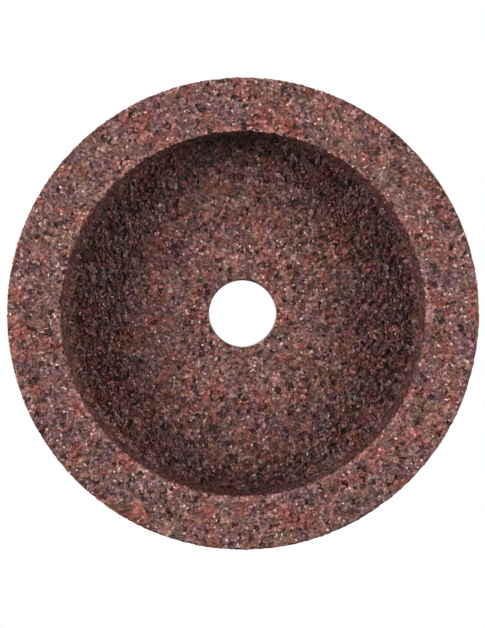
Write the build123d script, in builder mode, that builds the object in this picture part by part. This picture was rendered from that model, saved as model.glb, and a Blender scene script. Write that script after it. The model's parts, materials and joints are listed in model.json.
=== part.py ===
"""Recessed cup grinding wheel, 150 mm across, laid up and pressed as separate layers.

The wheel stands upright with its bore along Y. The recess and the working face look towards -Y,
the back seat looks towards +Y, and the origin is the middle of the bore. Millimetres throughout.
"""
import os

from build123d import *

os.makedirs("parts", exist_ok=True)

# Driving dimensions of the finished wheel.
WHEEL_D = 150.0
WHEEL_T = 40.0
BORE_D = 22.23
RECESS_D = 116.6
RECESS_DEPTH = 25.0

# Edges and corners.
RIM_OUTER_ROUND = 0.9
RIM_INNER_ROUND = 1.1
RECESS_FILLET = 2.0
BORE_ROUND = 0.4
BACK_ROUND = 0.9

# The layers of the back, in the order in which they go into the mould.
LABEL_T = 0.35
MESH_T = 0.6
BACK_LAYER_T = 4.45
WEB_LAYER_T = 4.4

# Radii of the pieces that don't reach the rim.
LABEL_R = 50.0
HUB_MESH_R = 38.0
FLOOR_LAYER_R = 54.0

# Stamped steel ring that lines the rear of the bore.
RING_WALL = 0.8
RING_FLANGE_R = 18.0
RING_BEND = 0.4

# Wire hoops moulded into the rim.
HOOP_R = 66.7
WIRE_D = 3.0
HOOP_PITCH = 8.0

# Sizes that follow from the ones above.
wheel_r = WHEEL_D / 2
bore_r = BORE_D / 2
recess_r = RECESS_D / 2
floor_h = WHEEL_T - RECESS_DEPTH
ring_outer_r = bore_r + RING_WALL

# Heights of the joints between the layers, above the back seat.
back_mesh_h = LABEL_T
back_layer_h = back_mesh_h + MESH_T
middle_mesh_h = back_layer_h + BACK_LAYER_T
web_layer_h = middle_mesh_h + MESH_T
floor_mesh_h = web_layer_h + WEB_LAYER_T
floor_layer_h = floor_mesh_h + MESH_T

rear_hoop_h = floor_h + HOOP_PITCH / 2
front_hoop_h = rear_hoop_h + HOOP_PITCH

# A half section through the wheel: X is the radius, Y the height above the back seat.
seat_y = floor_h / 2
section = Plane(origin=(0, seat_y, 0), x_dir=(1, 0, 0), z_dir=(0, 0, -1))


def at_height(height):
    """The plane across the bore at a height above the back seat, facing the working face."""
    return Plane.XZ.offset(height - seat_y)


def annulus(inner_r, outer_r):
    """A flat ring in the current sketch, centred on the bore."""
    Circle(outer_r)
    Circle(inner_r, mode=Mode.SUBTRACT)


def circle_edges(part, radius, height):
    """The circular edges of a part at one radius and one height above the back seat."""
    edges = part.edges().filter_by(GeomType.CIRCLE)
    at_radius = edges.filter_by(lambda edge: abs(edge.radius - radius) < 1e-3)
    return at_radius.filter_by(lambda edge: abs(seat_y - height - edge.arc_center.Y) < 1e-3)


# Paper blotter on the back seat, around the flange of the bore ring.
with BuildPart() as back_label:
    with BuildSketch(at_height(0)):
        annulus(RING_FLANGE_R, LABEL_R)
    extrude(amount=LABEL_T)

# Steel ring: a tube in the bore with a flange let into the blotter.
with BuildPart() as bore_ring:
    with BuildSketch(at_height(0)):
        annulus(bore_r, RING_FLANGE_R)
    extrude(amount=LABEL_T)
    with BuildSketch(at_height(0)):
        annulus(bore_r, ring_outer_r)
    extrude(amount=floor_layer_h)
    fillet(circle_edges(bore_ring, bore_r, 0), radius=RING_BEND)

# Glass mesh on the back face.
with BuildPart() as back_mesh:
    with BuildSketch(at_height(back_mesh_h)):
        annulus(ring_outer_r, wheel_r - BACK_ROUND)
    extrude(amount=MESH_T)

# Abrasive layer behind the middle mesh, rounded at the wheel's rear edge.
with BuildPart() as back_layer:
    with BuildSketch(at_height(back_layer_h)):
        annulus(ring_outer_r, wheel_r)
    extrude(amount=BACK_LAYER_T)
    fillet(circle_edges(back_layer, wheel_r, back_layer_h), radius=BACK_ROUND)

# Glass mesh between the two halves of the web.
with BuildPart() as middle_mesh:
    with BuildSketch(at_height(middle_mesh_h)):
        annulus(ring_outer_r, wheel_r)
    extrude(amount=MESH_T)

# Small glass mesh that doubles the middle one round the bore.
with BuildPart() as hub_mesh:
    with BuildSketch(at_height(web_layer_h)):
        annulus(ring_outer_r, HUB_MESH_R)
    extrude(amount=MESH_T)

# Abrasive layer in front of the middle mesh, with a pocket for the hub mesh.
with BuildPart() as web_layer:
    with BuildSketch(at_height(web_layer_h)):
        annulus(ring_outer_r, wheel_r)
    extrude(amount=WEB_LAYER_T)
    with BuildSketch(at_height(web_layer_h)):
        Circle(HUB_MESH_R)
    extrude(amount=MESH_T, mode=Mode.SUBTRACT)

# Glass mesh under the recess floor and the rim.
with BuildPart() as floor_mesh:
    with BuildSketch(at_height(floor_mesh_h)):
        annulus(ring_outer_r, wheel_r)
    extrude(amount=MESH_T)

# Abrasive disc that makes the middle of the recess floor, with its own bore wall.
with BuildPart() as floor_layer:
    with BuildSketch(at_height(floor_layer_h)):
        annulus(bore_r, FLOOR_LAYER_R)
    extrude(amount=floor_h - floor_layer_h)
    fillet(circle_edges(floor_layer, bore_r, floor_h), radius=BORE_ROUND)

# Root of the rim: it takes in the corner of the recess, and half of the rear wire hoop.
with BuildPart() as rim_root:
    with BuildSketch(section):
        with BuildLine():
            foot = Line((FLOOR_LAYER_R, floor_layer_h), (FLOOR_LAYER_R, floor_h))
            floor = Line(foot @ 1, (recess_r - RECESS_FILLET, floor_h))
            corner = RadiusArc(floor @ 1, (recess_r, floor_h + RECESS_FILLET), -RECESS_FILLET)
            Polyline(
                corner @ 1,
                (recess_r, rear_hoop_h),
                (wheel_r, rear_hoop_h),
                (wheel_r, floor_layer_h),
                foot @ 0,
            )
        make_face()
        with Locations((HOOP_R, rear_hoop_h)):
            Circle(WIRE_D / 2, mode=Mode.SUBTRACT)
    revolve(axis=Axis.Y)

# Middle of the rim, pressed between the two wire hoops.
with BuildPart() as rim_middle:
    with BuildSketch(section):
        with BuildLine():
            Polyline(
                (recess_r, rear_hoop_h),
                (recess_r, front_hoop_h),
                (wheel_r, front_hoop_h),
                (wheel_r, rear_hoop_h),
                close=True,
            )
        make_face()
        with Locations((HOOP_R, rear_hoop_h), (HOOP_R, front_hoop_h)):
            Circle(WIRE_D / 2, mode=Mode.SUBTRACT)
    revolve(axis=Axis.Y)

# Working end of the rim, with the flat face that grinds.
with BuildPart() as rim_face:
    with BuildSketch(section):
        with BuildLine():
            wall = Line((recess_r, front_hoop_h), (recess_r, WHEEL_T - RIM_INNER_ROUND))
            inner_edge = RadiusArc(wall @ 1, (recess_r + RIM_INNER_ROUND, WHEEL_T), RIM_INNER_ROUND)
            face = Line(inner_edge @ 1, (wheel_r - RIM_OUTER_ROUND, WHEEL_T))
            outer_edge = RadiusArc(face @ 1, (wheel_r, WHEEL_T - RIM_OUTER_ROUND), RIM_OUTER_ROUND)
            Polyline(outer_edge @ 1, (wheel_r, front_hoop_h), wall @ 0)
        make_face()
        with Locations((HOOP_R, front_hoop_h)):
            Circle(WIRE_D / 2, mode=Mode.SUBTRACT)
    revolve(axis=Axis.Y)

# Wire hoop between the root and the middle of the rim.
with BuildPart() as rear_hoop:
    with BuildSketch(section):
        with Locations((HOOP_R, rear_hoop_h)):
            Circle(WIRE_D / 2)
    revolve(axis=Axis.Y)

# Wire hoop between the middle and the working end of the rim.
with BuildPart() as front_hoop:
    with BuildSketch(section):
        with Locations((HOOP_R, front_hoop_h)):
            Circle(WIRE_D / 2)
    revolve(axis=Axis.Y)

pieces = {
    "back_label": back_label,
    "bore_ring": bore_ring,
    "back_mesh": back_mesh,
    "back_layer": back_layer,
    "middle_mesh": middle_mesh,
    "hub_mesh": hub_mesh,
    "web_layer": web_layer,
    "floor_mesh": floor_mesh,
    "floor_layer": floor_layer,
    "rim_root": rim_root,
    "rim_middle": rim_middle,
    "rim_face": rim_face,
    "rear_hoop": rear_hoop,
    "front_hoop": front_hoop,
}
for name, piece in pieces.items():
    piece.part.label = name
    export_step(piece.part, f"parts/{name}.step")
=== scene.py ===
"""A recessed cup grinding wheel of coarse bonded abrasive, upright, with its recess towards -Y.

The abrasive layers are surfaces of revolution whose skin is broken up into packed grains. One grain
field fills space for all of them, so neighbouring layers meet in the same grains. The glass meshes
are woven from separate yarns, and the blotter takes the print of the mesh that it lies on.
"""

import itertools
import json
import logging
import math
from dataclasses import dataclass
from enum import Enum, IntEnum
from typing import Optional, Union

import bmesh
import bpy
import numpy as np
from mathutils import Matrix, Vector


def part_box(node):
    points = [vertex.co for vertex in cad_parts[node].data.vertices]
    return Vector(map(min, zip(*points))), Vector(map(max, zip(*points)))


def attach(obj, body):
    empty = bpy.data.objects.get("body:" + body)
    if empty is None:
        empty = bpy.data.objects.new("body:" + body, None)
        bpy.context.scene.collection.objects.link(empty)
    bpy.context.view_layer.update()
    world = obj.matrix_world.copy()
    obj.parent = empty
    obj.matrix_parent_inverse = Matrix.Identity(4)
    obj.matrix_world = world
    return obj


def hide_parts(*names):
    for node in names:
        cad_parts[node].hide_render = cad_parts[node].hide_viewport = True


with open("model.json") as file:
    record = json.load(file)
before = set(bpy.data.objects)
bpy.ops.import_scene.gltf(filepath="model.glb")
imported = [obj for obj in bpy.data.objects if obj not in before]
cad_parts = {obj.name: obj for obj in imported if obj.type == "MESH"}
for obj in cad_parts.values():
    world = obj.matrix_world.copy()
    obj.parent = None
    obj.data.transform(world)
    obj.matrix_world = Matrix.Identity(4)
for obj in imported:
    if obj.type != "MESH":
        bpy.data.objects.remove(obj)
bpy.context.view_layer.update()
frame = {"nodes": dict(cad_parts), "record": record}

logging.basicConfig(level=logging.INFO, format="%(message)s")
LOG = logging.getLogger("cup_wheel")

MM = 0.001
TURN = 2 * math.pi
ROOT = "root"
WELD = 1e-7

Pair = tuple[float, float]
Range = tuple[float, float, float, float]
Colour = tuple[float, float, float]
Stops = tuple[tuple[float, Colour], ...]


# ---------------------------------------------------------------------------------------------
# Sizes that every piece shares


@dataclass(frozen=True)
class WheelSizes:
    """The sizes of the finished wheel, in metres. Heights are measured from the back seat.

    The grain tips stand into the recess past its drawn faces, which run through the grains' middles.
    """

    radius: float
    seat_y: float
    thickness: float
    floor_h: float
    bore_r: float
    recess_r: float = 58.3 * MM
    fillet: float = 2.0 * MM
    tips: float = 0.7 * MM
    inner_round: float = 0.6 * MM
    outer_round: float = 0.9 * MM
    back_round: float = 0.9 * MM
    side_give: float = 0.4
    ring_wall: float = 0.8 * MM

    @classmethod
    def from_frame(cls) -> "WheelSizes":
        """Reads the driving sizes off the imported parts.

        Returns:
            The sizes, with the corners and rounds at their drawn values.
        """
        face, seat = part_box("rim_face"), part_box("back_label")
        bore = next(m for m in frame["record"]["mounts"] if m["name"] == "bore")
        return cls(
            radius=face[1].x,
            seat_y=seat[1].y,
            thickness=seat[1].y - face[0].y,
            floor_h=seat[1].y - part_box("floor_layer")[0].y,
            bore_r=bore["dims"]["r_mm"] * MM,
        )

    @property
    def wall_r(self) -> float:
        """The radius of the recess at the tips of its grains."""
        return self.recess_r - self.tips

    @property
    def floor_top(self) -> float:
        """The height of the recess floor at the tips of its grains."""
        return self.floor_h + self.tips

    @property
    def ring_r(self) -> float:
        """The outer radius of the steel ring in the bore."""
        return self.bore_r + self.ring_wall

    @property
    def face_y(self) -> float:
        """The place of the working face along Y."""
        return self.seat_y - self.thickness

    def height(self, y: float) -> float:
        """The height above the back seat of a place along Y."""
        return self.seat_y - y

    def span(self, node: str) -> Pair:
        """The lowest and highest height of a node above the back seat."""
        low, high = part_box(node)
        return self.height(high.y), self.height(low.y)


# ---------------------------------------------------------------------------------------------
# Outlines and the surfaces spun from them


@dataclass(frozen=True)
class Station:
    """A point of a half outline: its place, the way it faces, and how freely it may wander."""

    radius: float
    height: float
    out_r: float = 0.0
    out_h: float = 0.0
    loose: float = 0.0


class Outline:
    """A half section of a layer, laid down one stretch after another."""

    def __init__(self) -> None:
        """Starts an outline with no stations."""
        self.stations: list[Station] = []

    def _add(self, station: Station) -> None:
        """Adds a station, unless it repeats the last one's place.

        Args:
            station: The next station of the outline.
        """
        last = self.stations[-1] if self.stations else None
        if last is None or math.hypot(last.radius - station.radius, last.height - station.height) > WELD:
            self.stations.append(station)

    def run(self, start: Pair, end: Pair, step: float, out: Pair = (0.0, 0.0),
            held: tuple[bool, bool] = (False, False)) -> "Outline":
        """Adds a straight stretch.

        Args:
            start: Radius and height of its first point.
            end: Radius and height of its last point.
            step: The spacing aimed at.
            out: The way that the stretch faces, or nothing for a hidden face.
            held: Whether the first and the last point lie on a seam, and so don't wander.

        Returns:
            The outline itself.
        """
        count = max(1, round(math.dist(start, end) / step))
        for index in range(count + 1):
            share = index / count
            fixed = (index == 0 and held[0]) or (index == count and held[1]) or out == (0.0, 0.0)
            radius, height = (a + (b - a) * share for a, b in zip(start, end))
            self._add(Station(radius, height, *out, 0.0 if fixed else 1.0))
        return self

    def bend(self, centre: Pair, radius: float, first: float, last: float, step: float,
             hollow: bool = False, give: Pair = (1.0, 1.0)) -> "Outline":
        """Adds a round stretch.

        Args:
            centre: Radius and height of the arc's centre.
            radius: The arc's own radius.
            first: The angle of its first point, in degrees from the way outwards.
            last: The angle of its last point.
            step: The spacing aimed at.
            hollow: Whether the arc is a hollow corner, which faces its own centre.
            give: How far the skin gives way to the grains at the first and at the last point.

        Returns:
            The outline itself.
        """
        count = max(2, round(radius * abs(math.radians(last - first)) / step))
        sign = -1.0 if hollow else 1.0
        for index in range(count + 1):
            share = index / count
            angle = math.radians(first + (last - first) * share)
            out_r, out_h = math.cos(angle), math.sin(angle)
            depth = sign * (give[0] + (give[1] - give[0]) * share)
            self._add(Station(centre[0] + radius * out_r, centre[1] + radius * out_h,
                              depth * out_r, depth * out_h, 1.0))
        return self


class Lathe:
    """Spins outlines about the bore and joins the zones of one layer into a closed shell."""

    sectors = 25
    slack = 1e-6

    def __init__(self, seat_y: float) -> None:
        """Starts an empty shell.

        Args:
            seat_y: The place of the back seat along Y.
        """
        self.seat_y = seat_y
        self.mesh = bmesh.new()
        self.ends: list[tuple[Station, Station]] = []

    def zone(self, stations: list[Station], steps: int) -> None:
        """Spins one stretch of an outline: a sector of it first, and then the sector all the way round.

        Args:
            stations: The stretch's stations, in order.
            steps: How many times it is repeated round the wheel, a multiple of the sectors.
        """
        part = bmesh.new()
        facing = part.verts.layers.float_vector.new("facing")
        rail = []
        for station in stations:
            vert = part.verts.new((station.radius, self.seat_y - station.height, 0.0))
            vert[facing] = (station.out_r, station.out_h, station.loose)
            rail.append(vert)
        edges = [part.edges.new(pair) for pair in zip(rail, rail[1:])]
        bmesh.ops.spin(part, geom=rail + edges, cent=(0, 0, 0), axis=(0, 1, 0),
                       angle=TURN / self.sectors, steps=steps // self.sectors)
        bmesh.ops.spin(part, geom=part.verts[:] + part.edges[:] + part.faces[:], cent=(0, 0, 0),
                       axis=(0, 1, 0), use_duplicate=True, angle=TURN - TURN / self.sectors,
                       steps=self.sectors - 1)
        bmesh.ops.remove_doubles(part, verts=part.verts, dist=WELD)
        poured = bpy.data.meshes.new("zone")
        part.to_mesh(poured)
        part.free()
        self.mesh.from_mesh(poured)
        bpy.data.meshes.remove(poured)
        self.ends.append((stations[0], stations[-1]))

    def _loop(self, station: Station) -> list[bmesh.types.BMEdge]:
        """Finds the open edges on the circle that a station describes.

        Args:
            station: The first or the last station of a zone.

        Returns:
            The edges.
        """
        y = self.seat_y - station.height

        def on_circle(vert: bmesh.types.BMVert) -> bool:
            """Whether a vertex lies on the station's circle."""
            return (abs(vert.co.y - y) < self.slack
                    and abs(math.hypot(vert.co.x, vert.co.z) - station.radius) < self.slack)

        return [e for e in self.mesh.edges if e.is_boundary and all(map(on_circle, e.verts))]

    def close(self) -> bmesh.types.BMesh:
        """Bridges each zone to the next, and the last to the first.

        Returns:
            The closed shell, its faces pointing outwards.
        """
        following = self.ends[1:] + self.ends[:1]
        for (_, last), (first, _) in zip(self.ends, following):
            bmesh.ops.bridge_loops(self.mesh, edges=self._loop(last) + self._loop(first))
        bmesh.ops.recalc_face_normals(self.mesh, faces=self.mesh.faces)
        return self.mesh


# ---------------------------------------------------------------------------------------------
# The grains


class Salt(IntEnum):
    """Which of a cell's fixed numbers is meant. The first of three stands for all three."""

    PLACE = 1
    STAND = 5
    LOST = 6
    SHADE = 7
    TINT = 8
    TILT = 10
    SHIFT_ROUND = 41
    SHIFT_ALONG = 42


class Scrambler:
    """Turns whole-number cells into fixed numbers that look random."""

    axes = (73856093, 19349663, 83492791)
    salt = 2654435761
    rounds = ((15, 2246822519), (13, 3266489917))
    last_shift = 16
    word = 0xFFFFFFFF
    kept = 0xFFFFFF

    @classmethod
    def number(cls, cells: np.ndarray, salt: int) -> np.ndarray:
        """A fixed number from 0 to 1 for each cell of a lattice.

        Args:
            cells: Whole-number cell positions, in an array whose last axis is three long.
            salt: Which of the cell's numbers is meant.

        Returns:
            One number for each cell.
        """
        whole = cells.astype(np.int64)
        mixed = int(salt) * cls.salt
        for axis, factor in enumerate(cls.axes):
            mixed = (whole[..., axis] * factor) ^ mixed
        for shift, factor in cls.rounds:
            mixed = ((mixed ^ (mixed >> shift)) * factor) & cls.word
        return ((mixed ^ (mixed >> cls.last_shift)) & cls.kept) / float(cls.kept + 1)

    @classmethod
    def triple(cls, cells: np.ndarray, salt: int) -> np.ndarray:
        """Three numbers for each cell, as a vector."""
        return np.stack([cls.number(cells, salt + axis) for axis in range(3)], axis=-1)


@dataclass(frozen=True)
class Packing:
    """Where points lie among the grains, with lengths in grain pitches."""

    away: np.ndarray
    gap: np.ndarray
    cell: np.ndarray


@dataclass(frozen=True)
class GrainField:
    """Grains packed through space, each a chip with its own facets, its own stand and its own shade."""

    pitch: float = 1.2 * MM
    stand: float = 0.38 * MM
    facet: float = 0.42 * MM
    crevice: float = 0.15 * MM
    crevice_width: float = 0.2
    pore_share: float = 0.09
    pore: float = 0.35 * MM
    swell: float = 0.07 * MM
    swell_pitch: float = 9.0 * MM
    swell_bend: Pair = (1.3, 0.7)
    deepest: float = 0.85 * MM
    proud: float = 0.06 * MM
    facets: int = 3
    stand_skew: float = 1.6
    least: float = 1e-9
    shift_grid: float = 0.001 * MM

    def pack(self, points: np.ndarray) -> Packing:
        """Finds the grain that each point belongs to.

        Args:
            points: Places in the wheel.

        Returns:
            Each point's way from its grain's middle, its distance to the next grain, and its grain's cell.
        """
        place = points / self.pitch
        home = np.floor(place)
        nearest, second = np.full((2, len(points)), np.inf)
        seed, cell = np.zeros_like(place), np.zeros_like(place)
        for offset in itertools.product((-1, 0, 1), repeat=3):
            around = home + np.array(offset)
            centre = around + Scrambler.triple(around, Salt.PLACE)
            distance = np.linalg.norm(place - centre, axis=1)
            closer = distance < nearest
            second = np.where(closer, nearest, np.minimum(second, distance))
            nearest = np.where(closer, distance, nearest)
            seed[closer], cell[closer] = centre[closer], around[closer]
        return Packing(place - seed, second - nearest, cell)

    def depth(self, points: np.ndarray) -> np.ndarray:
        """How far below the drawn surface each point of the skin lies.

        Args:
            points: Places on the drawn surface.

        Returns:
            One depth for each point, never under zero.
        """
        packing = self.pack(points)
        cap = np.full(len(points), -np.inf)
        for index in range(self.facets):
            tilt = Scrambler.triple(packing.cell, Salt.TILT + 3 * index) - 0.5
            tilt /= np.linalg.norm(tilt, axis=1, keepdims=True) + self.least
            cap = np.maximum(cap, np.einsum("ij,ij->i", packing.away, tilt))
        stand = Scrambler.number(packing.cell, Salt.STAND) ** self.stand_skew
        lost = Scrambler.number(packing.cell, Salt.LOST) < self.pore_share
        crevice = np.exp(-(packing.gap / self.crevice_width) ** 2)
        depth = self.stand * stand + self.facet * cap + self.crevice * crevice + self.pore * lost
        return np.clip(depth + self._swell(points) - self.proud, 0.0, self.deepest)

    def traits(self, points: np.ndarray) -> tuple[np.ndarray, np.ndarray]:
        """The shade and the tint of the grain at each point, both from 0 to 1."""
        cell = self.pack(points).cell
        return Scrambler.number(cell, Salt.SHADE), Scrambler.number(cell, Salt.TINT)

    def _swell(self, points: np.ndarray) -> np.ndarray:
        """Works out the slow unevenness of the pressed surface.

        Args:
            points: Places on the drawn surface.

        Returns:
            One depth for each point.
        """
        phase = points / self.swell_pitch * TURN
        bent = phase[:, 0] + self.swell_bend[0] * np.sin(phase[:, 2] * self.swell_bend[1])
        wave = np.sin(bent) * np.sin(phase[:, 2] + np.sin(phase[:, 1]))
        return self.swell * (0.5 + 0.5 * wave)

    def wander(self, points: np.ndarray) -> tuple[np.ndarray, np.ndarray]:
        """Picks how each point shifts along the surface.

        Args:
            points: Places on the drawn surface.

        Returns:
            Two numbers from -1 to 1 for each point: one for its way round, one for the way along.
        """
        cells = np.round(points / self.shift_grid)
        first, second = (Scrambler.number(cells, salt) for salt in (Salt.SHIFT_ROUND, Salt.SHIFT_ALONG))
        return 2 * first - 1, 2 * second - 1


# ---------------------------------------------------------------------------------------------
# Shaders


Value = Union["Wire", float, tuple]


class Wire:
    """An output socket that Python's operators work on, each one a Math node."""

    def __init__(self, graph: "Graph", socket: bpy.types.NodeSocket) -> None:
        """Wraps a socket of a graph."""
        self.graph = graph
        self.socket = socket

    def __add__(self, other: Value) -> "Wire":
        """The sum."""
        return self.graph.math("ADD", self, other)

    def __sub__(self, other: Value) -> "Wire":
        """The difference."""
        return self.graph.math("SUBTRACT", self, other)

    def __rsub__(self, other: Value) -> "Wire":
        """The difference, from a number."""
        return self.graph.math("SUBTRACT", other, self)

    def __mul__(self, other: Value) -> "Wire":
        """The product."""
        return self.graph.math("MULTIPLY", self, other)

    __radd__ = __add__
    __rmul__ = __mul__


class Graph:
    """The node tree of one material."""

    def __init__(self, name: str) -> None:
        """Makes an empty material with its output.

        Args:
            name: The material's name.
        """
        self.material = bpy.data.materials.new(name)
        self.material.use_nodes = True
        self.tree = self.material.node_tree
        self.tree.nodes.clear()
        self.output = self.tree.nodes.new("ShaderNodeOutputMaterial")

    def node(self, kind: str, settings: Optional[dict] = None, **sockets: Value) -> bpy.types.Node:
        """Makes a node, sets it up, and then fills its sockets.

        Args:
            kind: The node's type, without ShaderNode.
            settings: Its properties; ramp holds a colour ramp's stops.
            **sockets: Values or wires by socket name, with _ for a space, or by number as s0, s1.

        Returns:
            The node.
        """
        made = self.tree.nodes.new("ShaderNode" + kind)
        for key, value in (settings or {}).items():
            if key == "ramp":
                self._fill_ramp(made.color_ramp, value)
            else:
                setattr(made, key, value)
        for key, value in sockets.items():
            numbered = key[0] == "s" and key[1:].isdigit()
            index = int(key[1:]) if numbered else key.replace("_", " ")
            if isinstance(value, Wire):
                self.tree.links.new(value.socket, made.inputs[index])
            else:
                made.inputs[index].default_value = value
        return made

    @staticmethod
    def _fill_ramp(ramp: bpy.types.ColorRamp, stops: Stops) -> None:
        """Gives a ramp its stops.

        Args:
            ramp: A new ramp.
            stops: The place and the colour of each stop.
        """
        while len(ramp.elements) < len(stops):
            ramp.elements.new(1.0)
        for element, (place, colour) in zip(ramp.elements, stops):
            element.position = place
            element.color = (*colour, 1.0)

    def wire(self, kind: str, out: Union[int, str] = 0, settings: Optional[dict] = None,
             **sockets: Value) -> Wire:
        """Makes a node and returns one of its outputs."""
        return Wire(self, self.node(kind, settings, **sockets).outputs[out])

    def math(self, operation: str, *values: Value) -> Wire:
        """Makes a Math node of one operation on its values."""
        sockets = {f"s{index}": value for index, value in enumerate(values)}
        return self.wire("Math", 0, {"operation": operation}, **sockets)

    def vector(self, operation: str, *values: Value, out: Union[int, str] = 0) -> Wire:
        """Makes a Vector Math node of one operation on its values."""
        sockets = {f"s{index}": value for index, value in enumerate(values)}
        return self.wire("VectorMath", out, {"operation": operation}, **sockets)

    def span(self, value: Value, low: float, high: float, to_low: float = 0.0, to_high: float = 1.0) -> Wire:
        """Maps a value from one range to another, held inside the second."""
        return self.wire("MapRange", 0, None, s0=value, s1=low, s2=high, s3=to_low, s4=to_high)

    def blend(self, factor: Value, first: Value, second: Value) -> Wire:
        """Mixes two colours.

        Args:
            factor: The share of the second, from 0 to 1.
            first: A colour, or a wire that carries one.
            second: The same.

        Returns:
            The mixture.
        """
        settings = {"data_type": "RGBA", "clamp_factor": True}
        pair = [(*v, 1.0) if isinstance(v, tuple) and len(v) == 3 else v for v in (first, second)]
        return self.wire("Mix", 2, settings, s0=factor, s6=pair[0], s7=pair[1])

    def ramp(self, value: Value, stops: Stops) -> Wire:
        """Looks a value up in a colour ramp."""
        return self.wire("ValToRGB", 0, {"ramp": stops}, s0=value)

    def place(self) -> Wire:
        """The point's own place on the object, in metres."""
        return self.wire("TexCoord", "Object")

    def radius(self, place: Wire) -> Wire:
        """How far a place is from the bore's axis."""
        return self.vector("LENGTH", self.vector("MULTIPLY", place, (1.0, 0.0, 1.0)), out="Value")

    def noise(self, place: Wire, size: float, detail: float = 2.0, out: Union[int, str] = 0) -> Wire:
        """Noise whose lumps are about one size, in metres."""
        return self.wire("TexNoise", out, None, Vector=place, Scale=1.0 / size, Detail=detail)

    def bump(self, height: Wire, depth: float, strength: float) -> Wire:
        """Turns a height into a bend of the surface."""
        return self.wire("Bump", 0, None, Strength=strength, Distance=depth, Height=height)

    def finish(self, **sockets: Value) -> bpy.types.Material:
        """Ends the tree in a Principled shader.

        Args:
            **sockets: The shader's values or wires, by socket name.

        Returns:
            The finished material.
        """
        shader = self.node("BsdfPrincipled", None, **sockets)
        self.tree.links.new(shader.outputs[0], self.output.inputs["Surface"])
        return self.material


def srgb(red: float, green: float, blue: float) -> Colour:
    """Turns a display colour into a shader's linear one.

    Args:
        red: The red channel, from 0 to 255.
        green: The green channel.
        blue: The blue channel.

    Returns:
        The linear colour.
    """
    def linear(value: float) -> float:
        """One channel."""
        share = value / 255
        return share / 12.92 if share <= 0.04045 else ((share + 0.055) / 1.055) ** 2.4
    return linear(red), linear(green), linear(blue)


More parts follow.
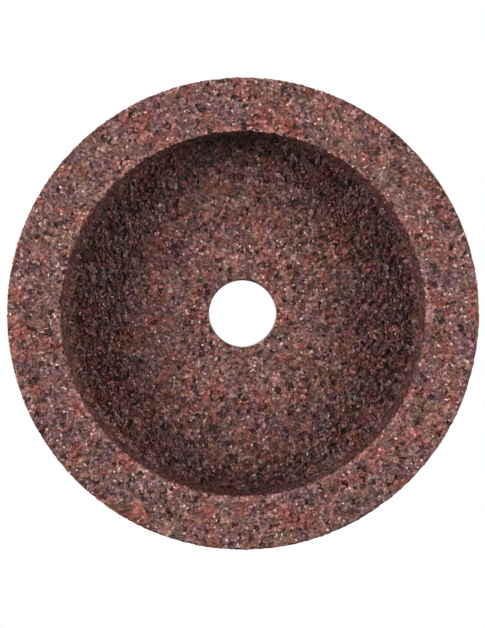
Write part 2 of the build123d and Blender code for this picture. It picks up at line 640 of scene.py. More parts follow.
@dataclass(frozen=True)
class AbrasiveFinish:
    """Coarse red-brown grain in a dark resin bond, with every facet in its own grain's colour.

    A pair is the lowest and the highest value looked at. A range goes on to what they turn into.
    """

    sizes: WheelSizes
    chip: float = 0.64 * MM
    patch: float = 3.8 * MM
    patch_warp: float = 3.0 * MM
    patch_mix: float = 3.0 * MM
    speck: float = 0.4 * MM
    tone_shares: tuple = (0.47, 0.4, 0.13)
    hue_drift: float = 0.12
    hue_share: float = 0.36
    dark_specks: Range = (0.3, 0.44, 0.4, 0.0)
    # Painted glints: a pale colour laid on a few chips as highlights.
    glints: Range = (0.975, 0.985, 0.0, 0.7)
    # Bond colour where the skin sinks deepest: bond in the pores, and painted shade in the crevices.
    pits: Range = (0.42, 0.95, 0.0, 0.92)
    # Pale inner rim edge: partly rubbed wear, partly a painted highlight.
    worn: float = 0.3
    worn_width: float = 1.2 * MM
    worn_in: float = 0.7
    worn_patches: Pair = (0.38, 0.55)
    # Painted shade: the bond colour laid over the recess, growing towards the wall, stronger on dark grains.
    skin: float = 0.22
    skin_start: float = 20.0 * MM
    skin_width: float = 1.0 * MM
    skin_on_shades: Range = (0.0, 1.0, 1.7, 0.3)
    rough_shares: Pair = (0.6, 0.4)
    rough: Range = (0.1, 0.6, 0.36, 0.8)
    relief_shares: Pair = (0.6, 0.5)
    relief: float = 0.16 * MM
    relief_strength: float = 0.8
    gloss: float = 0.85
    bond: Colour = srgb(44, 20, 18)
    # The pale of the rim's inner edge: rubbed wear, and a painted highlight.
    dust: Colour = srgb(186, 146, 134)
    # The colour of the painted glints.
    glint: Colour = srgb(202, 184, 178)
    shades: Stops = (
        (0.0, srgb(36, 16, 14)),
        (0.2, srgb(68, 38, 34)),
        (0.45, srgb(112, 77, 71)),
        (0.7, srgb(145, 116, 111)),
        (0.88, srgb(177, 155, 150)),
        (1.0, srgb(202, 190, 187)),
    )
    tints: Stops = (
        (0.0, srgb(152, 66, 60)),
        (0.14, srgb(148, 88, 58)),
        (0.28, srgb(110, 98, 74)),
        (0.42, srgb(124, 88, 84)),
        (0.56, srgb(92, 90, 102)),
        (0.7, srgb(124, 72, 90)),
        (0.85, srgb(100, 98, 94)),
        (1.0, srgb(152, 66, 60)),
    )

    def _below_face(self, g: Graph, place: Wire, depth: float) -> Wire:
        """Tells the working face from what lies below it.

        Args:
            g: The material's graph.
            place: The place on the wheel.
            depth: How far below the foot of the rim's rounded inner edge the change is complete.

        Returns:
            A share that goes from 0 at that foot to 1 at the depth.
        """
        y = Wire(g, g.node("SeparateXYZ", None, s0=place).outputs["Y"])
        front = self.sizes.face_y + self.sizes.inner_round
        return g.span(y, front, front + depth)

    def _worn(self, g: Graph, place: Wire, cloud: Wire) -> Wire:
        """Finds where the rim's inner edge is paled: rubbed wear, and a painted highlight along its rounded
        edge.

        Args:
            g: The material's graph.
            place: The place on the wheel.
            cloud: Noise that breaks the pale edge into patches.

        Returns:
            How far it is paled, from 0 to 1.
        """
        edge = self.sizes.recess_r + self.sizes.inner_round * self.worn_in
        off = g.math("ABSOLUTE", g.radius(place) - edge)
        on_face = 1.0 - self._below_face(g, place, self.sizes.inner_round)
        return g.span(off, 0.0, self.worn_width, 1.0, 0.0) * on_face * g.span(cloud, *self.worn_patches)

    def _skin(self, g: Graph, place: Wire) -> Wire:
        """Finds how much painted shade darkens the recess towards its wall.

        Args:
            g: The material's graph.
            place: The place on the wheel.

        Returns:
            A share that grows from the middle of the floor to the wall.
        """
        s, radius = self.sizes, g.radius(place)
        sunk = self._below_face(g, place, self.skin_width)
        inside = g.span(radius, s.recess_r + self.skin_width, s.recess_r + 2 * self.skin_width, 1.0, 0.0)
        return g.span(radius, self.skin_start, s.wall_r, 0.0, self.skin) * sunk * inside

    def _patches(self, g: Graph, place: Wire, strewn: Wire) -> tuple[Wire, Wire]:
        """Two numbers that run in ragged patches, which grains stray across.

        Args:
            g: The material's graph.
            place: The place on the wheel.
            strewn: The way that a grain strays, each part from 0 to 1.

        Returns:
            The patch's place in the tints, and its tone.
        """
        warp = g.noise(place, self.patch / 2, out="Color")
        warped = g.vector("MULTIPLY_ADD", warp, (self.patch_warp,) * 3, place)
        warped = g.vector("MULTIPLY_ADD", strewn, (self.patch_mix,) * 3, warped)
        cells = g.wire("TexVoronoi", "Color", None, Vector=warped, Scale=1 / self.patch)
        parts = g.node("SeparateColor", None, s0=cells)
        return Wire(g, parts.outputs[0]), Wire(g, parts.outputs[1])

    def build(self) -> bpy.types.Material:
        """Makes the material.

        Returns:
            The material, which reads the layers' pit, shade and tint.
        """
        g = Graph("bonded_abrasive")
        place = g.place()
        chip = g.node("SeparateColor", None, s0=g.wire("TexVoronoi", "Color", None, Vector=place,
                                                       Scale=1 / self.chip))
        first, second, third = (Wire(g, chip.outputs[index]) for index in range(3))
        pit, shade, tint = (g.wire("Attribute", "Fac", {"attribute_name": name})
                            for name in ("pit", "shade", "tint"))
        cloud = g.noise(place, self.patch)
        speck = g.noise(place, self.speck)
        strewn = g.wire("CombineXYZ", 0, None, X=tint, Y=shade, Z=third)
        patch_hue, patch_tone = self._patches(g, place, strewn)
        by_grain, by_chip, by_patch = self.tone_shares
        body = g.ramp(shade * by_grain + first * by_chip + patch_tone * by_patch, self.shades)
        hue = g.ramp(g.math("FRACT", tint * self.hue_drift + patch_hue), self.tints)
        colour = g.blend(self.hue_share, body, hue)
        colour = g.blend(g.span(speck, *self.dark_specks), colour, self.bond)
        # Painted glints on a few chips.
        colour = g.blend(g.span(second, *self.glints), colour, self.glint)
        # Pale inner rim edge: partly rubbed wear, partly a painted highlight.
        colour = g.blend(self._worn(g, place, cloud) * self.worn, colour, self.dust)
        # Painted shade darkening the recess towards its wall.
        colour = g.blend(self._skin(g, place) * g.span(shade, *self.skin_on_shades), colour, self.bond)
        # Darker where the skin sinks deepest: bond in the pores, and painted shade in the crevices.
        colour = g.blend(g.span(pit, *self.pits), colour, self.bond)
        rough = g.span(third * self.rough_shares[0] + shade * self.rough_shares[1], *self.rough)
        stand = third * self.relief_shares[0] + speck * self.relief_shares[1]
        return g.finish(Base_Color=colour, Roughness=rough, Specular_IOR_Level=self.gloss,
                        Normal=g.bump(stand, self.relief, self.relief_strength))


@dataclass(frozen=True)
class GlassFinish:
    """Glass yarn soaked in amber resin, dusty with grit."""

    strand: float = 0.14 * MM
    cloud: float = 2.5 * MM
    grit: float = 0.5 * MM
    clouds: Pair = (0.35, 0.65)
    grit_spots: Range = (0.55, 0.68, 0.0, 0.8)
    rough: Range = (0.3, 0.7, 0.35, 0.7)
    relief: float = 0.08 * MM
    relief_strength: float = 0.4
    soaked: Colour = srgb(132, 114, 88)
    pale: Colour = srgb(156, 140, 112)
    dust: Colour = srgb(104, 66, 58)

    def build(self) -> bpy.types.Material:
        """Makes the material.

        Returns:
            The material of the yarns.
        """
        g = Graph("resin_glass_yarn")
        place = g.place()
        cloud = g.noise(place, self.cloud, 4.0)
        dust = g.noise(place, self.grit)
        strands = g.noise(place, self.strand, 1.0)
        colour = g.blend(g.span(cloud, *self.clouds), self.soaked, self.pale)
        colour = g.blend(g.span(dust, *self.grit_spots), colour, self.dust)
        return g.finish(Base_Color=colour, Roughness=g.span(dust, *self.rough),
                        Normal=g.bump(strands, self.relief, self.relief_strength))


@dataclass(frozen=True)
class PaperFinish:
    """Kraft blotter with two plain printed rings, stained by the resin."""

    ring: float = 46.0 * MM
    ring_width: float = 1.6 * MM
    inner_ring: float = 21.5 * MM
    inner_width: float = 0.7 * MM
    ink_edge: float = 0.06 * MM
    ink_wear: Range = (0.35, 0.5, 0.55, 0.95)
    fibre: float = 0.35 * MM
    fibres: Pair = (0.3, 0.7)
    stain: float = 9.0 * MM
    stains: Range = (0.5, 0.75, 0.0, 0.5)
    rough: float = 0.85
    relief: float = 0.05 * MM
    relief_strength: float = 0.35
    dark: Colour = srgb(158, 148, 128)
    pale: Colour = srgb(172, 163, 144)
    resin: Colour = srgb(136, 112, 86)
    ink: Colour = srgb(112, 44, 38)

    def _print(self, g: Graph, radius: Wire, ring: float, width: float) -> Wire:
        """Where a printed ring lies, from 0 to 1."""
        off = g.math("ABSOLUTE", radius - ring)
        return g.span(off, width / 2 - self.ink_edge, width / 2, 1.0, 0.0)

    def build(self) -> bpy.types.Material:
        """Makes the material.

        Returns:
            The material of the blotter.
        """
        g = Graph("blotter_paper")
        place = g.place()
        radius = g.radius(place)
        fibre = g.noise(place, self.fibre, 3.0)
        stain = g.noise(place, self.stain, 4.0)
        colour = g.blend(g.span(fibre, *self.fibres), self.dark, self.pale)
        colour = g.blend(g.span(stain, *self.stains), colour, self.resin)
        rings = g.math("MAXIMUM", self._print(g, radius, self.ring, self.ring_width),
                       self._print(g, radius, self.inner_ring, self.inner_width))
        colour = g.blend(rings * g.span(fibre, *self.ink_wear), colour, self.ink)
        return g.finish(Base_Color=colour, Roughness=self.rough,
                        Normal=g.bump(fibre, self.relief, self.relief_strength))


class SteelKind(Enum):
    """The two steels of the wheel."""

    PLATED = "plated_ring_steel"
    DRAWN = "drawn_wire_steel"


@dataclass(frozen=True)
class SteelFinish:
    """Steel with fine marks round the bore and a little resin on it."""

    kind: SteelKind
    mark: float = 0.12 * MM
    stain: float = 2.5 * MM
    stains: Range = (0.5, 0.8, 0.0, 0.35)
    rough_marks: Range = (0.3, 0.7, 0.3, 0.46)
    rough_stains: Range = (0.5, 0.8, 0.0, 0.12)
    relief: float = 0.02 * MM
    relief_strength: float = 0.25
    plated: Colour = srgb(196, 194, 186)
    drawn: Colour = srgb(142, 138, 132)
    resin: Colour = srgb(150, 134, 114)

    def build(self) -> bpy.types.Material:
        """Makes the material.

        Returns:
            The material of this kind of steel.
        """
        g = Graph(self.kind.value)
        place = g.place()
        marks = g.wire("TexNoise", 0, {"noise_dimensions": "1D"}, W=g.radius(place), Scale=1 / self.mark,
                       Detail=3.0)
        stain = g.noise(place, self.stain, 3.0)
        base = self.plated if self.kind is SteelKind.PLATED else self.drawn
        colour = g.blend(g.span(stain, *self.stains), base, self.resin)
        rough = g.span(marks, *self.rough_marks) + g.span(stain, *self.rough_stains)
        return g.finish(Base_Color=colour, Metallic=1.0, Roughness=rough,
                        Normal=g.bump(marks, self.relief, self.relief_strength))


# ---------------------------------------------------------------------------------------------
# Pieces


def publish(mesh: bmesh.types.BMesh, name: str, material: bpy.types.Material, slot: str,
            *replaced: str) -> bpy.types.Object:
    """Turns a finished shell into a piece of the wheel.

    Args:
        mesh: The shell, in place.
        name: The piece's name.
        material: Its finish.
        slot: The record's material slot; not used.
        *replaced: The CAD nodes that it stands for.

    Returns:
        The piece, riding on the wheel.
    """
    data = bpy.data.meshes.new(name)
    mesh.to_mesh(data)
    mesh.free()
    data.materials.append(material)
    piece = bpy.data.objects.new(name, data)
    bpy.context.scene.collection.objects.link(piece)
    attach(piece, ROOT)
    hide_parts(*replaced)
    LOG.info("%s: %d triangles", name, sum(len(p.vertices) - 2 for p in data.polygons))
    return piece


@dataclass
class AbrasiveLayer:
    """One pressed layer of abrasive: a closed shell whose shown faces are broken into grains."""

    sizes: WheelSizes
    grains: GrainField
    finish: bpy.types.Material
    around: int = 900
    fine: float = 0.42 * MM
    coarse: float = 0.6 * MM
    hidden: float = 4.0 * MM
    wander: float = 0.32
    mesh_half: float = 0.3 * MM
    hole_r: float = 12.0 * MM
    edge_inset: float = 1.5 * MM
    name: str = ""

    def zones(self) -> list[tuple[list[Station], int]]:
        """The layer's half outline in zones, each with its number of steps round the wheel."""
        raise NotImplementedError

    def build(self) -> bpy.types.Object:
        """Spins the outline, breaks its skin into grains and publishes the piece.

        Returns:
            The layer's piece.
        """
        lathe = Lathe(self.sizes.seat_y)
        for stations, steps in self.zones():
            lathe.zone(stations, steps)
        mesh = lathe.close()
        self._break_up(mesh)
        bmesh.ops.triangulate(mesh, faces=mesh.faces, quad_method="BEAUTY", ngon_method="BEAUTY")
        self._tell_grains(mesh)
        return publish(mesh, self.name + "_grain", self.finish, "abrasive", self.name)

    def _tell_grains(self, mesh: bmesh.types.BMesh) -> None:
        """Marks each facet with its grain's shade and tint, which the finish reads.

        Args:
            mesh: The layer's shell, in its final shape.
        """
        shade, tint = mesh.faces.layers.float.new("shade"), mesh.faces.layers.float.new("tint")
        middles = np.array([face.calc_center_median() for face in mesh.faces])
        for face, face_shade, face_tint in zip(mesh.faces, *self.grains.traits(middles)):
            face[shade], face[tint] = face_shade, face_tint
        mesh.verts.layers.float_vector.remove(mesh.verts.layers.float_vector["facing"])

    def _break_up(self, mesh: bmesh.types.BMesh) -> None:
        """Shifts the skin along itself a little and sinks it to the grains.

        Args:
            mesh: The layer's shell, as drawn.
        """
        facing = mesh.verts.layers.float_vector["facing"]
        pit = mesh.verts.layers.float.new("pit")
        points = np.array([v.co for v in mesh.verts])
        ways = np.array([v[facing] for v in mesh.verts])
        radius = np.hypot(points[:, 0], points[:, 2])
        spoke = np.stack([points[:, 0] / radius, np.zeros(len(points)), points[:, 2] / radius], axis=1)
        axial = np.array([0.0, -1.0, 0.0])
        round_way = np.cross(spoke, axial)
        out = spoke * ways[:, :1] + axial * ways[:, 1:2]
        along = spoke * -ways[:, 1:2] + axial * ways[:, :1]
        first, second = self.grains.wander(points)
        loose = ways[:, 2] * self.wander
        skin = points + round_way * (first * loose * radius * TURN / self.around)[:, None]
        skin = skin + along * (second * loose * self.fine)[:, None]
        shown = np.linalg.norm(out, axis=1) > 0.0
        depth = np.where(shown, self.grains.depth(skin), 0.0)
        moved = np.where(shown[:, None], skin - out * depth[:, None], points)
        for vert, place, sunk in zip(mesh.verts, moved, depth / self.grains.deepest):
            vert.co = place
            vert[pit] = sunk


@dataclass
class RimFace(AbrasiveLayer):
    """The working end of the rim: its face, its two rounded edges and the walls down to the next layer."""

    name: str = "rim_face"

    def zones(self) -> list[tuple[list[Station], int]]:
        """Draws the working end, whose half outline is one open zone.

        Returns:
            The zones, each with its number of steps round the wheel.
        """
        s, (low, top) = self.sizes, self.sizes.span(self.name)
        line = Outline()
        line.run((s.wall_r, low), (s.wall_r, top - s.inner_round), self.coarse, (-1.0, 0.0), (True, False))
        inner_r, outer_r = s.wall_r + s.inner_round, s.radius - s.outer_round
        line.bend((inner_r, top - s.inner_round), s.inner_round, 180, 90, self.fine)
        line.run((inner_r, top), (outer_r, top), self.fine, (0.0, 1.0))
        line.bend((outer_r, top - s.outer_round), s.outer_round, 90, 0, self.fine, give=(1.0, s.side_give))
        line.run((s.radius, top - s.outer_round), (s.radius, low), self.coarse, (s.side_give, 0.0),
                 (False, True))
        return [(line.stations, self.around)]


@dataclass
class RimMiddle(AbrasiveLayer):
    """The middle of the rim, between the two wire hoops."""

    name: str = "rim_middle"

    def zones(self) -> list[tuple[list[Station], int]]:
        """Draws the recess wall and the side.

        Returns:
            The zones, each with its number of steps round the wheel.
        """
        s, (low, top) = self.sizes, self.sizes.span(self.name)
        wall = Outline().run((s.wall_r, low), (s.wall_r, top), self.coarse, (-1.0, 0.0), (True, True))
        side = Outline().run((s.radius, top), (s.radius, low), self.coarse, (s.side_give, 0.0),
                             (True, True))
        return [(wall.stations, self.around), (side.stations, self.around)]


@dataclass
class RimRoot(AbrasiveLayer):
    """The root of the rim, with the corner of the recess."""

    name: str = "rim_root"

    def zones(self) -> list[tuple[list[Station], int]]:
        """Draws the floor's outer ring with the hollow corner and the wall, then the side and the underside.

        Returns:
            The zones, each with its number of steps round the wheel.
        """
        s, (low, top) = self.sizes, self.sizes.span(self.name)
        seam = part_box("floor_layer")[1].x
        corner = (s.wall_r - s.fillet, s.floor_top + s.fillet)
        wall = Outline().run((seam, s.floor_top), (corner[0], s.floor_top), self.fine, (0.0, 1.0),
                             (True, False))
        wall.bend(corner, s.fillet, -90, 0, self.fine, hollow=True)
        wall.run((s.wall_r, corner[1]), (s.wall_r, top), self.coarse, (-1.0, 0.0), (False, True))
        side = Outline().run((s.radius, top), (s.radius, low - self.mesh_half), self.coarse,
                             (s.side_give, 0.0), (True, True))
        under = Outline().run((s.radius - self.edge_inset, low), (seam, low), self.hidden)
        return [(wall.stations, self.around), (side.stations, self.around), (under.stations, self.around)]


@dataclass
class FloorLayer(AbrasiveLayer):
    """The middle of the recess floor and the front of the bore wall."""

    name: str = "floor_layer"
    bore_round: float = 0.4 * MM
    bore_give: float = 0.25
    under_share: int = 3

    def zones(self) -> list[tuple[list[Station], int]]:
        """Draws the floor in three zones that halve their steps towards the bore, and the hidden underside.

        Returns:
            The zones, each with its number of steps round the wheel.
        """
        s, low = self.sizes, self.sizes.span(self.name)[0]
        seam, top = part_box(self.name)[1].x, s.floor_top
        half, quarter = seam / 2, seam / 4
        outer = Outline().run((seam, top), (half + self.fine, top), self.fine, (0.0, 1.0), (True, False))
        middle = Outline().run((half, top), (quarter + self.fine, top), self.fine, (0.0, 1.0))
        edge_r = s.bore_r + self.bore_round
        inner = Outline().run((quarter, top), (edge_r + self.fine, top), self.fine, (0.0, 1.0))
        inner.run((edge_r, top), (s.bore_r, top - self.bore_round), self.bore_round / 2,
                  (-self.bore_give, self.bore_give))
        inner.run((s.bore_r, top - self.bore_round), (s.bore_r, low), self.fine, (-self.bore_give, 0.0),
                  (False, True))
        under = Outline().run((seam / self.under_share, low), (seam, low), self.hidden)
        around = self.around
        return [(outer.stations, around), (middle.stations, around // 2),
                (inner.stations, around // 4), (under.stations, around // 4)]


@dataclass
class WebLayer(AbrasiveLayer):
    """The abrasive layer in front of the middle mesh, of which only the side shows."""

    name: str = "web_layer"

    def zones(self) -> list[tuple[list[Station], int]]:
        """Draws the side, and the hidden faces.

        Returns:
            The zones, each with its number of steps round the wheel.
        """
        s, (low, top) = self.sizes, self.sizes.span(self.name)
        side = Outline().run((s.radius, top + self.mesh_half), (s.radius, low - self.mesh_half), self.coarse,
                             (s.side_give, 0.0), (True, True))
        under = Outline().run((s.radius - self.edge_inset, low), (self.hole_r, low), self.hidden * 2)
        above = Outline().run((self.hole_r, top), (s.radius - self.edge_inset, top), self.hidden * 2)
        hidden = self.around // 4
        return [(side.stations, self.around), (under.stations, hidden), (above.stations, hidden)]


@dataclass
class BackLayer(AbrasiveLayer):
    """The rear abrasive layer: its side, the rounded rear edge, and the back between the yarns."""

    name: str = "back_layer"
    under_label: Pair = (1.0 * MM, 2.0 * MM)
    back_step: float = 0.48 * MM

    def zones(self) -> list[tuple[list[Station], int]]:
        """Draws the side, the rear edge and the back face, which is plain under the blotter.

        Returns:
            The zones, each with its number of steps round the wheel.
        """
        s, (low, top) = self.sizes, self.sizes.span(self.name)
        back_h = low - self.mesh_half
        shown_r, plain_r = (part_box("back_label")[1].x - inset for inset in self.under_label)
        corner = (s.radius - s.back_round, back_h + s.back_round)
        skin = Outline().run((s.radius, top + self.mesh_half), (s.radius, corner[1]), self.coarse,
                             (s.side_give, 0.0), (True, False))
        skin.bend(corner, s.back_round, 0, -90, self.fine, give=(s.side_give, 1.0))
        skin.run((corner[0], back_h), (shown_r, back_h), self.back_step, (0.0, -1.0))
        under = Outline().run((plain_r, low), (self.hole_r, low), self.hidden * 2)
        above = Outline().run((self.hole_r, top), (s.radius - self.edge_inset, top), self.hidden * 2)
        hidden = self.around // 4
        return [(skin.stations, self.around), (under.stations, hidden), (above.stations, hidden)]


class Way(Enum):
    """The two ways that the yarns of a mesh run."""

    WEFT = "along X"
    WARP = "along Z"


@dataclass(frozen=True)
class Yarn:
    """One yarn of a mesh: a flat bundle, straight or twisted round a mate that is its mirror image."""

    way: Way
    start: float
    end: float
    offset: float
    width: float
    thick: float
    lift: float = 0.0
    twist: float = 0.0

    def lay(self, across: float, up: float, share: float, turn: float) -> tuple[float, float, float]:
        """Where a point of the straight unit yarn comes to lie.

        Args:
            across: The point's place across the yarn, in its widths.
            up: Its place through the yarn, in its thicknesses.
            share: Its place along the yarn, from 0 to 1.
            turn: The angle that the pair turns through in each metre.

        Returns:
            The place along the way, out of the mesh and across the way.
        """
        along = self.start + (self.end - self.start) * share
        phase = turn * along
        side = self.offset + across * self.width + self.twist * math.sin(phase)
        return along, up * self.thick + self.lift * math.cos(phase), side


@dataclass
class GlassMesh:
    """A disc of open leno-woven glass: flat wefts, each held between the two warps of every pair."""

    name: str
    sizes: WheelSizes
    finish: bpy.types.Material
    inner_r: float
    outer_r: float
    steps: int = 110
    sides: int = 6
    pitch: float = 5.0 * MM
    weft_share: float = 0.5
    warp_share: float = 0.25
    weft_width: float = 1.5 * MM
    warp_width: float = 0.75 * MM
    warp_twist: float = 0.4125 * MM
    frayed: float = 0.25 * MM
    shortest: float = 4.0 * MM

    def build(self) -> bpy.types.Object:
        """Sweeps all the yarns at once, lays each in its place and publishes the disc.

        Returns:
            The disc's piece.
        """
        low, high = self.sizes.span(self.name)
        middle = self.sizes.seat_y - (low + high) / 2
        yarns = self._yarns(high - low)
        mesh = bmesh.new()
        which = mesh.verts.layers.int.new("yarn")
        for index in range(len(yarns)):
            end = bmesh.ops.create_circle(mesh, cap_ends=True, segments=self.sides, radius=0.5)
            for vert in end["verts"]:
                vert[which] = index
        bmesh.ops.spin(mesh, geom=mesh.verts[:] + mesh.edges[:] + mesh.faces[:], cent=(0, 0, 0),
                       axis=(0, 0, 1), dvec=(0, 0, 1 / self.steps), angle=0.0, steps=self.steps)
        for vert in mesh.verts:
            yarn = yarns[vert[which]]
            along, out, side = yarn.lay(*vert.co, math.pi / self.pitch)
            vert.co = (along, middle + out, side) if yarn.way is Way.WEFT else (side, middle + out, along)
        bmesh.ops.recalc_face_normals(mesh, faces=mesh.faces)
        return publish(mesh, self.name + "_yarn", self.finish, "glass_mesh", self.name)

    def _yarns(self, thick: float) -> list[Yarn]:
        """Every yarn of the mesh.

        Args:
            thick: The thickness that the mesh has to itself.

        Returns:
            The yarns, two warps to each weft.
        """
        rng = np.random.default_rng(int(self.outer_r / MM) + len(self.name))
        count = int(self.outer_r / self.pitch)
        yarns = []
        for line in range(-count, count + 1):
            offset = line * self.pitch
            for start, end in self._stretches(offset, rng):
                yarns.append(Yarn(Way.WEFT, start, end, offset, self.weft_width, thick * self.weft_share))
                for mate in (-1.0, 1.0):
                    lift = mate * thick * (self.weft_share + self.warp_share) / 2
                    yarns.append(Yarn(Way.WARP, start, end, offset, self.warp_width,
                                      thick * self.warp_share, lift, mate * self.warp_twist))
        return yarns

    def _stretches(self, offset: float, rng: np.random.Generator) -> list[tuple[float, float]]:
        """Finds the stretches of one yarn that lie on the ring.

        Args:
            offset: How far from the middle the yarn passes.
            rng: Draws how far its ends are frayed.

        Returns:
            The start and the end of each stretch.
        """
        half = self.weft_width / 2
        reach = self.outer_r ** 2 - (abs(offset) + half) ** 2
        hole = self.inner_r ** 2 - max(abs(offset) - half, 0.0) ** 2
        if reach < self.shortest ** 2:
            return []
        far = math.sqrt(reach) - self.frayed * (1 + rng.random())
        if hole <= 0:
            return [(-far, far)]
        near = math.sqrt(hole)
        return [(-far, -near), (near, far)]


@dataclass
class Blotter:
    """The paper blotter, which takes a faint print of the mesh under it."""

    sizes: WheelSizes
    finish: bpy.types.Material
    mesh_pitch: float = GlassMesh.pitch
    print_depth: float = 0.07 * MM
    around: int = 360
    step: float = 0.8 * MM
    edge: float = 0.05 * MM
    edge_step: float = 1.0 * MM
    inner_step: float = 3.0 * MM

    def build(self) -> bpy.types.Object:
        """Spins the sheet and presses the mesh's print into its shown face.

        Returns:
            The blotter's piece.
        """
        low, high = self.sizes.span("back_label")
        inner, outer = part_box("bore_ring")[1].x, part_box("back_label")[1].x
        line = Outline()
        line.run((outer, high), (outer, low + self.edge), self.edge_step)
        line.run((outer - self.edge, low), (inner + self.edge, low), self.step, (0.0, -1.0))
        line.run((inner, low + self.edge), (inner, high), self.edge_step)
        line.run((inner, high), (outer - self.inner_step, high), self.inner_step)
        lathe = Lathe(self.sizes.seat_y)
        lathe.zone(line.stations, self.around)
        mesh = lathe.close()
        self._print(mesh)
        bmesh.ops.triangulate(mesh, faces=mesh.faces, quad_method="BEAUTY", ngon_method="BEAUTY")
        return publish(mesh, "blotter", self.finish, "label_paper", "back_label")

    def _print(self, mesh: bmesh.types.BMesh) -> None:
        """Sinks the shown face between the yarns.

        Args:
            mesh: The sheet, as drawn.
        """
        facing = mesh.verts.layers.float_vector["facing"]
        for vert in mesh.verts:
            if vert[facing].y < 0.0:
                near = max(math.cos(TURN * place / self.mesh_pitch) for place in (vert.co.x, vert.co.z))
                vert.co.y -= self.print_depth * (1.0 - max(near, 0.0))


@dataclass
class KeptParts:
    """The CAD pieces whose shape is right: the bore ring and the two wire hoops."""

    plated: tuple[str, ...] = ("bore_ring",)
    drawn: tuple[str, ...] = ("rear_hoop", "front_hoop")

    def dress(self) -> None:
        """Gives each its finish."""
        for kind, names in ((SteelKind.PLATED, self.plated), (SteelKind.DRAWN, self.drawn)):
            finish = SteelFinish(kind).build()
            for name in names:
                piece = frame["nodes"][name]
                piece.data.materials.clear()
                piece.data.materials.append(finish)
                LOG.info("%s: kept, %s", name, kind.value)


# ---------------------------------------------------------------------------------------------
# Studio


@dataclass(frozen=True)
class SoftBox:
    """One soft light, aimed at the wheel: where it stands round the bore's axis, and how bright it is."""

    name: str
    bearing: float
    rise: float
    power: float
    side: float = 0.55
    distance: float = 1.1

    def place(self) -> Vector:
        """Works out where it stands: the bearing runs from the right over the top, the rise to the camera.

        Returns:
            Its place.
        """
        bearing, rise = math.radians(self.bearing), math.radians(self.rise)
        flat = math.cos(rise) * self.distance
        return Vector((math.cos(bearing) * flat, -math.sin(rise) * self.distance, math.sin(bearing) * flat))


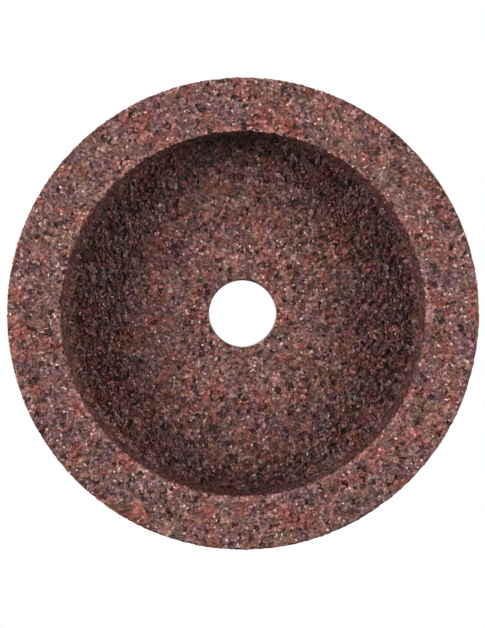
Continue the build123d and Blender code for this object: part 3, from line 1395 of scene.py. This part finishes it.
@dataclass
class Studio:
    """A pale floor swept up into a backdrop, soft boxes, and the camera in front of the working face."""

    sizes: WheelSizes
    distance: float = 640 * MM
    lens: float = 115.8
    aside: float = -5.2 * MM
    above: float = 1.6 * MM
    aim_x: float = -0.24 * MM
    aim_z: float = -0.12 * MM
    floor_z: float = -0.42
    sweep_half: float = 3.0
    sweep_front: float = -3.0
    sweep_back: float = 1.4
    sweep_bend: float = 0.5
    sweep_top: float = 1.8
    sweep_steps: int = 16
    clip_start: float = 0.01
    contrast: float = 1.62
    bounce: float = 0.08
    ambient: float = 0.008
    boxes: tuple[SoftBox, ...] = (
        SoftBox("left_box", 180, 41, 16.6),
        SoftBox("right_box", 0, 41, 13.6),
        SoftBox("upper_right_box", 45, 55, 3.0),
        SoftBox("top_box", 90, 35, 2.2),
        SoftBox("upper_left_box", 135, 35, 2.1),
        SoftBox("rear_left_box", 180, -38, 13.0),
        SoftBox("rear_right_box", 0, -38, 10.0),
        SoftBox("rear_top_box", 90, -38, 11.0),
    )

    def build(self) -> None:
        """Sets up the whole studio."""
        self._camera()
        for box in self.boxes:
            self._light(box)
        self._cyclorama()
        self._world()
        view = bpy.context.scene.view_settings
        view.view_transform = "Standard"
        view.look = "None"
        view.gamma = 1 / self.contrast

    def _camera(self) -> None:
        """Puts the camera in front of the working face."""
        data = bpy.data.cameras.new("camera")
        data.lens = self.lens
        data.clip_start = self.clip_start
        camera = bpy.data.objects.new("camera", data)
        bpy.context.scene.collection.objects.link(camera)
        face_y = self.sizes.face_y
        camera.location = (self.aside, face_y - self.distance, self.above)
        aim = Vector((self.aim_x, face_y, self.aim_z)) - camera.location
        camera.rotation_euler = aim.to_track_quat("-Z", "Y").to_euler()
        bpy.context.scene.camera = camera

    def _light(self, box: SoftBox) -> None:
        """Sets up one soft box, turned to the wheel.

        Args:
            box: The soft box.
        """
        data = bpy.data.lights.new(box.name, "AREA")
        data.size = box.side
        data.energy = box.power
        light = bpy.data.objects.new(box.name, data)
        bpy.context.scene.collection.objects.link(light)
        light.location = box.place()
        light.rotation_euler = (-box.place()).to_track_quat("-Z", "Y").to_euler()

    def _cyclorama(self) -> None:
        """Makes the floor, swept up into a backdrop behind the wheel."""
        side, foot_y = -self.sweep_half, self.sweep_back - self.sweep_bend
        mesh = bmesh.new()
        low = mesh.verts.new((side, self.sweep_front, self.floor_z))
        foot = mesh.verts.new((side, foot_y, self.floor_z))
        mesh.edges.new((low, foot))
        bmesh.ops.spin(mesh, geom=[foot], cent=(side, foot_y, self.floor_z + self.sweep_bend),
                       axis=(1, 0, 0), angle=math.pi / 2, steps=self.sweep_steps)
        crest = max(mesh.verts, key=lambda vert: vert.co.z)
        mesh.edges.new((crest, mesh.verts.new((side, self.sweep_back, self.sweep_top))))
        swept = bmesh.ops.extrude_edge_only(mesh, edges=mesh.edges[:])
        moved = [part for part in swept["geom"] if isinstance(part, bmesh.types.BMVert)]
        bmesh.ops.translate(mesh, vec=(2 * self.sweep_half, 0.0, 0.0), verts=moved)
        bmesh.ops.recalc_face_normals(mesh, faces=mesh.faces)
        data = bpy.data.meshes.new("cyclorama")
        mesh.to_mesh(data)
        mesh.free()
        data.materials.append(self._paper())
        sweep = bpy.data.objects.new("cyclorama", data)
        bpy.context.scene.collection.objects.link(sweep)

    def _paper(self) -> bpy.types.Material:
        """Makes pale paper that is evenly lit for the eye, and throws little light on the wheel.

        Returns:
            The paper's material.
        """
        g = Graph("pale_paper_roll")
        seen = g.wire("LightPath", "Is Camera Ray")
        dim = g.node("BsdfDiffuse", None, Color=(self.bounce, self.bounce, self.bounce, 1.0))
        pale = g.node("Emission", None, Strength=1.0)
        mixed = g.node("MixShader", None, s0=seen, s1=Wire(g, dim.outputs[0]), s2=Wire(g, pale.outputs[0]))
        g.tree.links.new(mixed.outputs[0], g.output.inputs["Surface"])
        return g.material

    def _world(self) -> None:
        """Makes the room: white to the eye, and dim as a light."""
        world = bpy.data.worlds.new("studio")
        world.use_nodes = True
        tree = world.node_tree
        background = tree.nodes["Background"]
        background.inputs["Color"].default_value = (1.0, 1.0, 1.0, 1.0)
        path, strength = tree.nodes.new("ShaderNodeLightPath"), tree.nodes.new("ShaderNodeMapRange")
        strength.inputs["To Min"].default_value = self.ambient
        tree.links.new(path.outputs["Is Camera Ray"], strength.inputs["Value"])
        tree.links.new(strength.outputs[0], background.inputs["Strength"])
        bpy.context.scene.world = world


# ---------------------------------------------------------------------------------------------


def main() -> None:
    """Builds the wheel from the back to the front, and then the studio."""
    sizes = WheelSizes.from_frame()
    grains = GrainField()
    abrasive = AbrasiveFinish(sizes).build()
    glass = GlassFinish().build()
    back_r, hub_r = (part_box(name)[1].x for name in ("back_mesh", "hub_mesh"))
    meshes = (
        GlassMesh("back_mesh", sizes, glass, sizes.ring_r, back_r - sizes.back_round),
        GlassMesh("middle_mesh", sizes, glass, sizes.ring_r, sizes.radius, steps=90, sides=4),
        GlassMesh("hub_mesh", sizes, glass, sizes.ring_r, hub_r, steps=48, sides=4),
        GlassMesh("floor_mesh", sizes, glass, sizes.ring_r, sizes.radius, steps=90, sides=4),
    )
    Blotter(sizes, PaperFinish().build()).build()
    for disc in meshes:
        disc.build()
    for layer in (BackLayer, WebLayer, FloorLayer, RimRoot, RimMiddle, RimFace):
        layer(sizes, grains, abrasive).build()
    KeptParts().dress()
    Studio(sizes).build()


if __name__ == "__main__":
    main()
